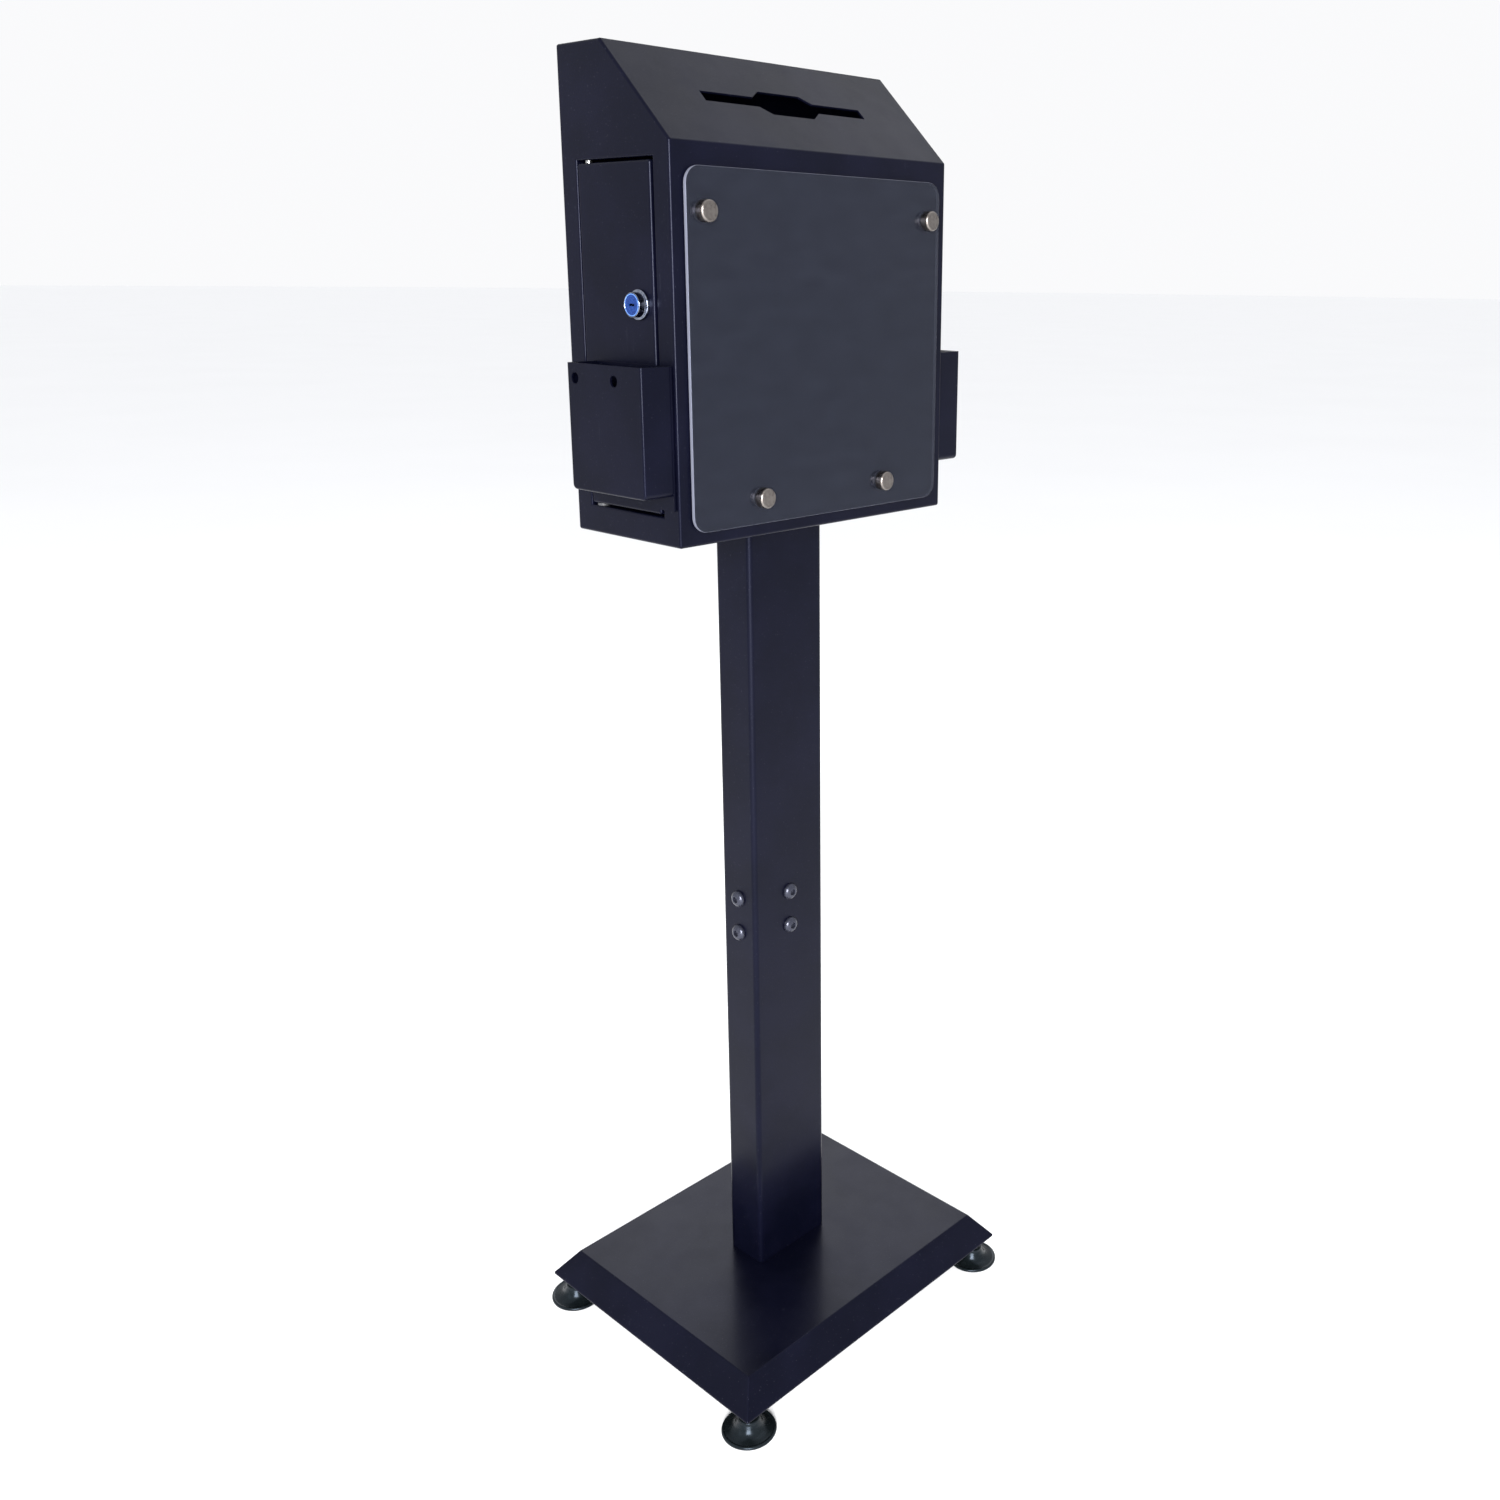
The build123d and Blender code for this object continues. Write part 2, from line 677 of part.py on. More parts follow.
def make_joint_nuts():
    solids = []
    for start, inwards in side_screw_places():
        at = outward(start, inwards, -(post_wall + sleeve_clearance + sleeve_wall))
        nut = hexagon(at, inwards, m8_nut_af, m8_nut_h)
        solids.append(nut - rod(at, inwards, m8 + 2 * thread_clearance, m8_nut_h))
    return group(solids)


def make_end_plate(z0, x, y, bolt_d):
    """Plate welded inside the end of a tube, tapped for the bolts."""
    width = post_width - 2 * (post_wall + end_plate_clearance)
    depth = post_depth - 2 * (post_wall + end_plate_clearance)
    plate = extrude(Pos(0, 0, z0) * RectangleRounded(width, depth, post_corner - post_wall), amount=end_plate)
    for px, py in corner_places(x, y):
        plate -= rod((px, py, z0 - 1), (0, 0, 1), bolt_d + 2 * thread_clearance, end_plate + 2)
    return plate


def make_spreader(width, depth, z0, x, y, hole):
    plate = extrude(Pos(0, 0, z0) * RectangleRounded(width, depth, 5), amount=spreader_sheet)
    for px, py in corner_places(x, y):
        plate -= rod((px, py, z0 - 1), (0, 0, 1), hole, spreader_sheet + 2)
    return plate


def make_bolts(x, y, bolt_d, head_af, head_h, seat_z, down, reach):
    """Hex bolts whose heads sit on seat_z; they run down, or up where down is false."""
    run = (0, 0, -1) if down else (0, 0, 1)
    back = (0, 0, 1) if down else (0, 0, -1)
    solids = []
    for px, py in corner_places(x, y):
        head = hexagon((px, py, seat_z), back, head_af, head_h)
        solids.append(head + rod((px, py, seat_z), run, bolt_d, reach))
    return group(solids)


def make_washers(x, y, bolt_d, outer_d, z0):
    solids = []
    for px, py in corner_places(x, y):
        ring = rod((px, py, z0), (0, 0, 1), outer_d, washer_h)
        solids.append(ring - rod((px, py, z0), (0, 0, 1), bolt_d + 0.4, washer_h))
    return group(solids)


# ---- base ----------------------------------------------------------------------------------------
def frustum(half_x, half_y, splay, z0, z1):
    """A four-sided block, half_x by half_y at z1, wider by splay at z0."""
    low = Pos(0, 0, z0) * Rectangle(2 * (half_x + splay), 2 * (half_y + splay))
    high = Pos(0, 0, z1) * Rectangle(2 * half_x, 2 * half_y)
    return loft([low, high])


def make_base_tray():
    hx = base_top_width / 2
    hy = base_top_depth / 2
    tray = frustum(hx, hy, base_splay, floor_clearance, base_top_z)
    tray = fillet(tray.edges(), base_edge_round)
    run_per_rise = base_splay / base_rise
    side_thickness = base_sheet * hypot(base_splay, base_rise) / base_rise
    cavity_z0 = floor_clearance + base_sheet
    cavity_z1 = base_top_z - base_sheet
    at_top = side_thickness - run_per_rise * base_sheet
    tray -= frustum(hx - at_top, hy - at_top, run_per_rise * (cavity_z1 - cavity_z0), cavity_z0, cavity_z1)
    edge_x = hx + base_splay - base_flange
    edge_y = hy + base_splay - base_flange
    tray -= block(-edge_x, edge_x, -edge_y, edge_y, floor_clearance - 1, cavity_z0 + 1)
    for x, y in corner_places(foot_bolt_x, foot_bolt_y):
        tray -= rod((x, y, cavity_z1 - 1), (0, 0, 1), m8 + 2 * m8_hole_clearance, base_sheet + 2)
    for x, y in corner_places(foot_x, foot_y):
        tray -= rod((x, y, floor_clearance - 1), (0, 0, 1), stud_d + 0.6, base_sheet + 2)
    return tray


# ---- levelling feet ------------------------------------------------------------------------------
def make_foot_pad(x, y):
    """Moulded bell foot with a rolled rim, a groove above it and a socket for the stud's ball."""
    rim = foot_d / 2
    shoulder = rim - foot_groove - 1.2
    hub = foot_hub_d / 2
    edge = Polyline((0, 0), (rim - 1.5, 0))
    roll = ThreePointArc((rim - 1.5, 0), (rim, foot_rim_h / 2), (rim - 1.0, foot_rim_h))
    dip = Line((rim - 1.0, foot_rim_h), (shoulder, foot_rim_h + 0.6))
    bell = Spline((shoulder, foot_rim_h + 0.6), (hub + 3.0, foot_hub_h - 5.0), (hub, foot_hub_h - 1.5),
                  tangents=[(-1, 0.9), (-0.6, 1)])
    top = Polyline((hub, foot_hub_h - 1.5), (hub, foot_hub_h), (0, foot_hub_h), (0, 0))
    profile = make_face([edge, roll, dip, bell, top])
    pad = revolve(Plane.XZ * profile, Axis.Z)
    seat_z = foot_hub_h - foot_socket_depth
    socket = Pos(0, 0, seat_z + stud_ball_d / 2) * Sphere(stud_ball_d / 2 + foot_fit)
    neck = rod((0, 0, seat_z + stud_ball_d / 2), (0, 0, 1), stud_d + 2 * foot_fit + 0.6, foot_hub_h)
    return Pos(x, y, 0) * (pad - socket - neck)


def make_foot_stud(x, y):
    seat_z = foot_hub_h - foot_socket_depth
    ball_z = seat_z + stud_ball_d / 2
    stud = Pos(0, 0, ball_z) * Sphere(stud_ball_d / 2)
    stud += rod((0, 0, ball_z), (0, 0, 1), stud_d, stud_top - ball_z)
    tip = stud.faces().sort_by(Axis.Z)[-1]
    stud = chamfer(tip.edges(), 0.7)
    flats_z = foot_hub_h + 0.5
    for side in (-1, 1):
        y0, y1 = sorted((side * stud_flats / 2, side * stud_d))
        stud -= block(-stud_d, stud_d, y0, y1, flats_z, flats_z + stud_flats_h)
    return Pos(x, y, 0) * stud


def make_jam_nuts():
    z = floor_clearance - jam_nut_h
    solids = []
    for x, y in corner_places(foot_x, foot_y):
        nut = hexagon((x, y, z), (0, 0, 1), jam_nut_af, jam_nut_h)
        solids.append(nut - rod((x, y, z), (0, 0, 1), stud_d + 2 * foot_fit, jam_nut_h))
    return group(solids)


def make_foot_inserts():
    z = floor_clearance + base_sheet
    solids = []
    for x, y in corner_places(foot_x, foot_y):
        nut = rod((x, y, z), (0, 0, 1), insert_d, insert_h)
        solids.append(nut - rod((x, y, z), (0, 0, 1), stud_d + 2 * foot_fit, insert_h))
    return group(solids)


# ---- write every piece ---------------------------------------------------------------------------
save("housing_wrap", make_housing_wrap())
save("left_side_panel", make_left_side())
save("right_side_panel", make_right_side())
save("door", make_door())
save("door_hinge_pins", make_hinge_pins())
save("door_hinge_washer", make_hinge_washer())
save("door_stop_tabs", make_stop_tabs())

save("lock_housing", make_lock_housing())
save("lock_plug", make_lock_plug())
save("lock_face_ring", make_lock_face())
save("lock_nut", make_lock_nut())
save("lock_cam", make_lock_cam())
save("lock_cam_screw", make_lock_screw())

for pocket_name, pocket_side in (("left", -1), ("right", 1)):
    save(f"{pocket_name}_pocket_backplate", make_pocket_backplate(pocket_side))
    save(f"{pocket_name}_pocket_bin", make_pocket_bin(pocket_side))
    save(f"{pocket_name}_pocket_screws", make_pocket_screws(pocket_side))
    save(f"{pocket_name}_pocket_nuts", make_pocket_nuts(pocket_side))

save("sign_panel", make_sign_panel())
save("sign_caps", make_sign_caps())
save("sign_spacers", make_sign_spacers())
save("sign_screws", make_sign_screws())

save("post_upper_tube", make_tube(joint_z, box_z))
save("post_lower_tube", make_tube(base_top_z, joint_z))
save("post_coupling_sleeve", make_sleeve())
save("post_joint_screws", make_joint_screws())
save("post_joint_nuts", make_joint_nuts())

head_seat = box_z + wrap_sheet + spreader_sheet
head_reach = washer_h + spreader_sheet + wrap_sheet + end_plate
save("post_head_plate", make_end_plate(box_z - end_plate, top_bolt_x, top_bolt_y, top_bolt_d))
save("housing_spreader_plate", make_spreader(top_plate_width, top_plate_depth, box_z + wrap_sheet,
                                             top_bolt_x, top_bolt_y, top_bolt_d + 0.6))
save("housing_bolt_washers", make_washers(top_bolt_x, top_bolt_y, top_bolt_d, 12.0, head_seat))
save("housing_bolts", make_bolts(top_bolt_x, top_bolt_y, top_bolt_d, top_bolt_af, top_bolt_head_h,
                                 head_seat + washer_h, True, head_reach))

base_seat = base_top_z - base_sheet - spreader_sheet
base_reach = washer_h + spreader_sheet + base_sheet + end_plate
save("post_foot_plate", make_end_plate(base_top_z, foot_bolt_x, foot_bolt_y, m8))
save("base_spreader_plate", make_spreader(foot_plate_width, foot_plate_depth, base_seat,
                                          foot_bolt_x, foot_bolt_y, m8 + 2 * m8_hole_clearance))
save("base_bolt_washers", make_washers(foot_bolt_x, foot_bolt_y, m8, 16.0, base_seat - washer_h))
save("base_bolts", make_bolts(foot_bolt_x, foot_bolt_y, m8, m8_nut_af, foot_bolt_head_h,
                              base_seat - washer_h, False, base_reach))

save("base_tray", make_base_tray())
save("foot_inserts", make_foot_inserts())
save("foot_jam_nuts", make_jam_nuts())
for foot_name, sx, sy in (("front_left", -1, -1), ("front_right", 1, -1),
                          ("rear_left", -1, 1), ("rear_right", 1, 1)):
    save(f"foot_pad_{foot_name}", make_foot_pad(sx * foot_x, sy * foot_y))
    save(f"foot_stud_{foot_name}", make_foot_stud(sx * foot_x, sy * foot_y))
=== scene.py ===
import json
import math

import bmesh
import bpy
from mathutils import Matrix, Vector


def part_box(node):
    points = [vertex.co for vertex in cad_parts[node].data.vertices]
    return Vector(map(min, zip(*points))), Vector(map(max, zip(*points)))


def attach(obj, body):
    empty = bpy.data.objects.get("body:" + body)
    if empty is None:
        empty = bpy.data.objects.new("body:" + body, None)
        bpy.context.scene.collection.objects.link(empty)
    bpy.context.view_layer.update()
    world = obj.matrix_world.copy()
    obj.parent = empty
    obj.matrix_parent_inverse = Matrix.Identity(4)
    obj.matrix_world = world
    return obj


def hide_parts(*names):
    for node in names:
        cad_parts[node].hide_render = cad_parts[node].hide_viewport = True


# Looks for the deposit box on a post. Metres, +Z up, the sign faces -Y, the door faces -X.
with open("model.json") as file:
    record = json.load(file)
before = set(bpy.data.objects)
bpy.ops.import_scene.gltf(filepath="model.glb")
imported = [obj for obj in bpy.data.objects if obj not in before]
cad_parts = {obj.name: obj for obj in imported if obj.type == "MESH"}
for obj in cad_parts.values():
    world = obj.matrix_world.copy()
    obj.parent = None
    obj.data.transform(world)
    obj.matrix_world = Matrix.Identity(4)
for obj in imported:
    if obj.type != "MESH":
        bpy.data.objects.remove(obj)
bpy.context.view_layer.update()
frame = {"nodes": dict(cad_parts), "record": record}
nodes = frame["nodes"]
MM = 0.001

# ---- camera --------------------------------------------------------------------------------------
CAMERA_PLACE = Vector((-0.7753, -0.8310, 0.9094))
CAMERA_YAW = math.radians(47.98)     # turned from +Y towards +X
CAMERA_PITCH = math.radians(-15.80)
CAMERA_ROLL = math.radians(0.61)
CAMERA_LENS = 34.24
CAMERA_SHIFT = (-0.0933, -0.0520)


def make_camera():
    data = bpy.data.cameras.new("camera")
    data.lens = CAMERA_LENS
    data.shift_x, data.shift_y = CAMERA_SHIFT
    data.clip_start = 0.01
    forward = Vector((math.sin(CAMERA_YAW) * math.cos(CAMERA_PITCH),
                      math.cos(CAMERA_YAW) * math.cos(CAMERA_PITCH),
                      math.sin(CAMERA_PITCH)))
    level = Vector((math.cos(CAMERA_YAW), -math.sin(CAMERA_YAW), 0))
    right = level * math.cos(CAMERA_ROLL) + level.cross(forward) * math.sin(CAMERA_ROLL)
    turn = Matrix((right, right.cross(forward), -forward)).transposed().to_4x4()
    camera = bpy.data.objects.new("camera", data)
    camera.matrix_world = Matrix.Translation(CAMERA_PLACE) @ turn
    bpy.context.scene.collection.objects.link(camera)
    bpy.context.scene.camera = camera


make_camera()


# ---- material helpers ----------------------------------------------------------------------------
class Shader:
    """A Principled material and short ways to wire procedural detail into it."""

    def __init__(self, name, colour, roughness, **plain):
        self.material = bpy.data.materials.new(name)
        self.material.use_nodes = True
        self.tree = self.material.node_tree
        self.principled = self.tree.nodes["Principled BSDF"]
        self.set("Base Color", (*colour, 1))
        self.set("Roughness", roughness)
        for socket, value in plain.items():
            self.set(socket.replace("_", " "), value)
        self.place = self.node("ShaderNodeTexCoord").outputs["Object"]

    def set(self, socket, value):
        self.principled.inputs[socket].default_value = value

    def node(self, kind, **options):
        made = self.tree.nodes.new(kind)
        for option, value in options.items():
            setattr(made, option, value)
        return made

    def link(self, start, end):
        self.tree.links.new(start, end)

    def stretched(self, factors):
        mapping = self.node("ShaderNodeMapping")
        mapping.inputs["Scale"].default_value = factors
        self.link(self.place, mapping.inputs["Vector"])
        return mapping.outputs["Vector"]

    def noise(self, size, detail=2.0, rough=0.5, place=None):
        """Noise from 0 to 1 whose lumps are about `size` metres across."""
        made = self.node("ShaderNodeTexNoise")
        made.inputs["Scale"].default_value = 1 / size
        made.inputs["Detail"].default_value = detail
        made.inputs["Roughness"].default_value = rough
        self.link(place or self.place, made.inputs["Vector"])
        return made.outputs["Fac"]

    def ramp(self, value, low, high, out_low=0.0, out_high=1.0):
        made = self.node("ShaderNodeMapRange", interpolation_type="SMOOTHSTEP")
        made.inputs["From Min"].default_value = low
        made.inputs["From Max"].default_value = high
        made.inputs["To Min"].default_value = out_low
        made.inputs["To Max"].default_value = out_high
        self.link(value, made.inputs["Value"])
        return made.outputs["Result"]

    def math(self, operation, a, b):
        made = self.node("ShaderNodeMath", operation=operation)
        for socket, value in zip(made.inputs, (a, b)):
            if isinstance(value, (int, float)):
                socket.default_value = value
            else:
                self.link(value, socket)
        return made.outputs[0]

    def mix(self, factor, a, b):
        made = self.node("ShaderNodeMix", data_type="RGBA")
        self.link(factor, made.inputs["Factor"])
        for socket, value in ((made.inputs[6], a), (made.inputs[7], b)):
            if isinstance(value, tuple):
                socket.default_value = (*value, 1)
            else:
                self.link(value, socket)
        return made.outputs[2]

    def colour(self, output):
        self.link(output, self.principled.inputs["Base Color"])
        return self

    def roughness(self, output):
        self.link(output, self.principled.inputs["Roughness"])
        return self

    def bump(self, *layers):
        """Each layer is (height from 0 to 1, depth in metres)."""
        normal = None
        for height, depth in layers:
            made = self.node("ShaderNodeBump")
            made.inputs["Distance"].default_value = depth
            self.link(height, made.inputs["Height"])
            if normal is not None:
                self.link(normal, made.inputs["Normal"])
            normal = made.outputs["Normal"]
        self.link(normal, self.principled.inputs["Normal"])
        return self


# ---- materials -----------------------------------------------------------------------------------
def powder_coat():
    """Satin blue-black powder coat: orange peel, a few dust specks and faint handling marks."""
    coat = Shader("powder_coat", (0.005, 0.0056, 0.0135), 0.34, Specular_IOR_Level=0.085,
                  Specular_Tint=(0.54, 0.60, 1.0, 1), Coat_Weight=0.07, Coat_Roughness=0.16)
    peel = coat.noise(1.3 * MM, 2)
    fine = coat.noise(0.35 * MM, 1)
    cloud = coat.noise(60 * MM, 3)
    specks = coat.ramp(coat.noise(1.1 * MM, 0), 0.79, 0.83)
    marks = coat.noise(5 * MM, 4, 0.6, coat.stretched((1, 1, 0.12)))
    scuffs = coat.math("MULTIPLY", coat.ramp(marks, 0.66, 0.74), coat.ramp(cloud, 0.50, 0.62))
    base = coat.mix(coat.ramp(cloud, 0.35, 0.65), (0.0010, 0.0012, 0.0042), (0.0017, 0.0019, 0.0062))
    base = coat.mix(coat.math("MULTIPLY", specks, 0.35), base, (0.040, 0.041, 0.055))
    base = coat.mix(coat.math("MULTIPLY", scuffs, 0.22), base, (0.030, 0.032, 0.045))
    coat.colour(base)
    satin = coat.ramp(coat.noise(28 * MM, 4, 0.6), 0.3, 0.7, 0.30, 0.37)
    coat.roughness(coat.math("ADD", satin, coat.math("MULTIPLY", scuffs, 0.10)))
    return coat.bump((peel, 0.035 * MM), (fine, 0.006 * MM)).material


def satin_stainless():
    """Turned stainless steel: fine rings round the piece's own axis."""
    steel = Shader("satin_stainless", (0.32, 0.30, 0.285), 0.30, Metallic=1.0)
    rings = steel.node("ShaderNodeTexWave", wave_type="RINGS", rings_direction="Z")
    rings.inputs["Scale"].default_value = 520
    rings.inputs["Distortion"].default_value = 1.2
    rings.inputs["Detail Scale"].default_value = 3
    steel.link(steel.place, rings.inputs["Vector"])
    cloud = steel.noise(3 * MM, 3)
    steel.colour(steel.mix(steel.ramp(cloud, 0.3, 0.7), (0.150, 0.134, 0.125), (0.200, 0.182, 0.170)))
    steel.roughness(steel.ramp(cloud, 0.3, 0.7, 0.26, 0.36))
    return steel.bump((rings.outputs["Fac"], 0.006 * MM)).material


def zinc_plate():
    """Bright zinc with a soft spangle and a few darker stains."""
    zinc = Shader("zinc_plate", (0.30, 0.31, 0.31), 0.32, Metallic=1.0)
    spangle = zinc.node("ShaderNodeTexVoronoi")
    spangle.inputs["Scale"].default_value = 1 / (2.2 * MM)
    zinc.link(zinc.place, spangle.inputs["Vector"])
    grain = zinc.noise(1.2 * MM, 3)
    tone = zinc.mix(spangle.outputs["Color"], (0.26, 0.265, 0.27), (0.35, 0.35, 0.34))
    zinc.colour(zinc.mix(zinc.ramp(zinc.noise(6 * MM, 3), 0.6, 0.75), tone, (0.18, 0.175, 0.16)))
    zinc.roughness(zinc.ramp(grain, 0.3, 0.7, 0.24, 0.42))
    return zinc.bump((grain, 0.01 * MM)).material


def chrome():
    """Polished lock chrome with hairline scratches and light hazing; its dark blue-grey colour is a painted
    reflection of dark surroundings.
    """
    # The dark blue-grey metal colours here and below are a painted reflection of dark surroundings, varied by
    # the hazing.
    plate = Shader("lock_chrome", (0.26, 0.28, 0.34), 0.10, Metallic=1.0)
    hair = plate.noise(1.0 * MM, 3, 0.6, plate.stretched((0.2, 1, 6)))
    haze = plate.noise(2.5 * MM, 3)
    plate.colour(plate.mix(plate.ramp(haze, 0.35, 0.7), (0.15, 0.17, 0.23), (0.26, 0.28, 0.34)))
    plate.roughness(plate.ramp(haze, 0.3, 0.7, 0.07, 0.18))
    return plate.bump((hair, 0.003 * MM)).material


def blue_enamel(name, deep, light):
    """Glossy moulded blue with slight mottling under a clear skin."""
    blue = Shader(name, deep, 0.25, Coat_Weight=0.2, Coat_Roughness=0.08, Specular_IOR_Level=0.16)
    mottle = blue.noise(1.2 * MM, 3)
    blue.colour(blue.mix(blue.ramp(mottle, 0.3, 0.7), deep, light))
    blue.roughness(blue.ramp(mottle, 0.3, 0.7, 0.20, 0.32))
    return blue.bump((blue.noise(0.5 * MM, 2), 0.006 * MM)).material


def acrylic():
    """Clear cast acrylic: polished faces with faint wipe marks, and sawn edges painted lighter, partly for
    their milky finish and partly as a painted highlight.
    """
    sheet = Shader("clear_acrylic", (0.010, 0.011, 0.016), 0.10, IOR=1.49,
                   Specular_IOR_Level=0.30, Specular_Tint=(0.66, 0.72, 1.0, 1))
    wipes = sheet.noise(9 * MM, 4, 0.6, sheet.stretched((0.3, 1, 1)))
    facing = sheet.node("ShaderNodeSeparateXYZ")
    sheet.link(sheet.node("ShaderNodeTexCoord").outputs["Normal"], facing.inputs[0])
    edge = sheet.ramp(sheet.math("ABSOLUTE", facing.outputs["Y"], 0), 0.9, 0.5)
    saw = sheet.noise(0.8 * MM, 3, 0.6, sheet.stretched((1, 0.1, 1)))
    haze = sheet.mix(sheet.ramp(wipes, 0.3, 0.8), (0.0075, 0.0085, 0.013), (0.0105, 0.012, 0.018))
    # The lighter edge colour is partly the sawn edges' milky finish and partly a painted highlight.
    sheet.colour(sheet.mix(edge, haze, (0.12, 0.125, 0.16)))
    sheet.link(sheet.ramp(edge, 0, 1, 0.78, 0.97), sheet.principled.inputs["Alpha"])
    polish = sheet.ramp(wipes, 0.35, 0.75, 0.08, 0.14)
    sheet.roughness(sheet.math("ADD", polish, sheet.math("MULTIPLY", edge, 0.30)))
    return sheet.bump((sheet.math("MULTIPLY", saw, edge), 0.004 * MM)).material


def black_steel():
    """Glossy blue-black finish on the button screws, worn a little at its high spots."""
    black = Shader("black_steel", (0.030, 0.032, 0.048), 0.24, Metallic=0.6)
    grain = black.noise(0.9 * MM, 3)
    rub = black.ramp(black.noise(2.2 * MM, 4, 0.65), 0.60, 0.72)
    black.colour(black.mix(black.math("MULTIPLY", rub, 0.5), (0.030, 0.032, 0.048), (0.16, 0.16, 0.18)))
    black.roughness(black.ramp(grain, 0.3, 0.7, 0.18, 0.32))
    return black.bump((grain, 0.01 * MM)).material


def foot_plastic():
    """Glossy black-green moulding with faint flow marks and settled dust."""
    moulded = Shader("foot_plastic", (0.0035, 0.0050, 0.0058), 0.24, Specular_IOR_Level=0.20,
                     Specular_Tint=(0.66, 0.80, 1.0, 1))
    flow = moulded.noise(7 * MM, 3, 0.55, moulded.stretched((1, 1, 2)))
    dust = moulded.ramp(moulded.noise(0.9 * MM, 3, 0.7), 0.62, 0.78)
    tone = moulded.mix(moulded.ramp(flow, 0.3, 0.7), (0.0030, 0.0044, 0.0052), (0.0045, 0.0062, 0.0070))
    moulded.colour(moulded.mix(moulded.math("MULTIPLY", dust, 0.04), tone, (0.040, 0.040, 0.045)))
    moulded.roughness(moulded.ramp(flow, 0.3, 0.7, 0.20, 0.31))
    return moulded.bump((flow, 0.012 * MM), (moulded.noise(0.6 * MM, 2), 0.003 * MM)).material


def nylon(name, dark, light):
    """Dull turned nylon."""
    plastic = Shader(name, dark, 0.55)
    grain = plastic.noise(0.8 * MM, 3)
    plastic.colour(plastic.mix(plastic.ramp(grain, 0.3, 0.7), dark, light))
    plastic.roughness(plastic.ramp(grain, 0.3, 0.7, 0.48, 0.62))
    return plastic.bump((grain, 0.02 * MM)).material


coat = powder_coat()
stainless = satin_stainless()
zinc = zinc_plate()
lock_chrome = chrome()
lock_blue = blue_enamel("lock_blue", (0.0010, 0.012, 0.075), (0.003, 0.026, 0.140))
rim_blue = blue_enamel("lock_rim_blue", (0.05, 0.12, 0.34), (0.10, 0.21, 0.46))
clear = acrylic()
screw_black = black_steel()
plastic = foot_plastic()
dark_nylon = nylon("dark_nylon", (0.030, 0.031, 0.036), (0.050, 0.051, 0.056))
clear_nylon = nylon("clear_nylon", (0.34, 0.35, 0.38), (0.46, 0.47, 0.50))

BY_SLOT = {
    "powder_coat": coat,
    "satin_stainless": stainless,
    "zinc_steel": zinc,
    "chromed_lock": lock_chrome,
    "blue_ring": lock_blue,
    "clear_acrylic": clear,
    "clear_spacer": clear_nylon,
    "black_screw": screw_black,
    "foot_plastic": plastic,
    "nylon": dark_nylon,
}


def paint(piece, material):
    piece.data.materials.clear()
    piece.data.materials.append(material)


for row in frame["record"]["subparts"]:
    paint(nodes[row["node"]], BY_SLOT[row["material_slot"]])


# ---- mesh helpers --------------------------------------------------------------------------------
SHARP = math.radians(38)


def skin(name, loops, material, body, stands_for=(), place=None, ring=False):
    """A closed mesh through loops of points that all have the same count, riding on a body.

    Its ends are capped, unless it is a ring: then its last loop stands for its first.
    """
    bm = bmesh.new()
    rings = [[bm.verts.new(point) for point in loop] for loop in (loops[:-1] if ring else loops)]
    if ring:
        rings.append(rings[0])
    count = len(rings[0])
    for low, high in zip(rings, rings[1:]):
        for i in range(count):
            j = (i + 1) % count
            bm.faces.new((low[i], low[j], high[j], high[i]))
    if not ring:
        bm.faces.new(list(reversed(rings[0])))
        bm.faces.new(rings[-1])
    bmesh.ops.recalc_face_normals(bm, faces=bm.faces)
    for face in bm.faces:
        face.smooth = True
    for edge in bm.edges:
        edge.smooth = edge.calc_face_angle(0) < SHARP
    mesh = bpy.data.meshes.new(name)
    bm.to_mesh(mesh)
    bm.free()
    piece = bpy.data.objects.new(name, mesh)
    bpy.context.scene.collection.objects.link(piece)
    if place is not None:
        piece.matrix_world = place
    paint(piece, material)
    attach(piece, body)
    if stands_for:
        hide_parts(*stands_for)
    return piece


def circle(radius, height, count=72):
    turn = 2 * math.pi / count
    return [(radius * math.cos(i * turn), radius * math.sin(i * turn), height) for i in range(count)]


def hexagon_radius(angle, across_flats):
    sixth = math.pi / 3
    return across_flats / 2 / math.cos((angle + sixth / 2) % sixth - sixth / 2)


def hexagon(across_flats, height, count=72, limit=math.inf, slope=0.0):
    """A hexagon as a loop; where it is wider than `limit`, it is drawn in and moved by `slope`."""
    points = []
    for i in range(count):
        angle = 2 * math.pi * i / count
        full = hexagon_radius(angle, across_flats)
        radius = full if slope else min(full, limit)
        shift = slope * max(0.0, full - limit) if slope else 0.0
        points.append((radius * math.cos(angle), radius * math.sin(angle), height + shift))
    return points


def arc(centre, radii, start, end, steps):
    """Points (radius, height) on an ellipse's arc, angles in degrees."""
    points = []
    for i in range(steps + 1):
        angle = math.radians(start + (end - start) * i / steps)
        points.append((centre[0] + radii[0] * math.cos(angle), centre[1] + radii[1] * math.sin(angle)))
    return points


def facing(point, direction):
    """Puts a piece's own origin at a point, with its +Z along a direction."""
    turn = Vector(direction).to_track_quat("Z", "Y").to_matrix().to_4x4()
    return Matrix.Translation(Vector(point)) @ turn


def solid_boxes(node):
    """Lowest and highest corner of each separate solid in a CAD node."""
    bm = bmesh.new()
    bm.from_mesh(nodes[node].data)
    bmesh.ops.remove_doubles(bm, verts=bm.verts, dist=1e-6)
    waiting = set(bm.verts)
    boxes = []
    while waiting:
        frontier = [waiting.pop()]
        low = frontier[0].co.copy()
        high = frontier[0].co.copy()
        while frontier:
            vertex = frontier.pop()
            low = Vector(map(min, low, vertex.co))
            high = Vector(map(max, high, vertex.co))
            near = {edge.other_vert(vertex) for edge in vertex.link_edges} & waiting
            waiting -= near
            frontier.extend(near)
        boxes.append((low, high))
    bm.free()
    return sorted(boxes, key=lambda box: tuple(round(value, 4) for value in (*box[0], *box[1])))


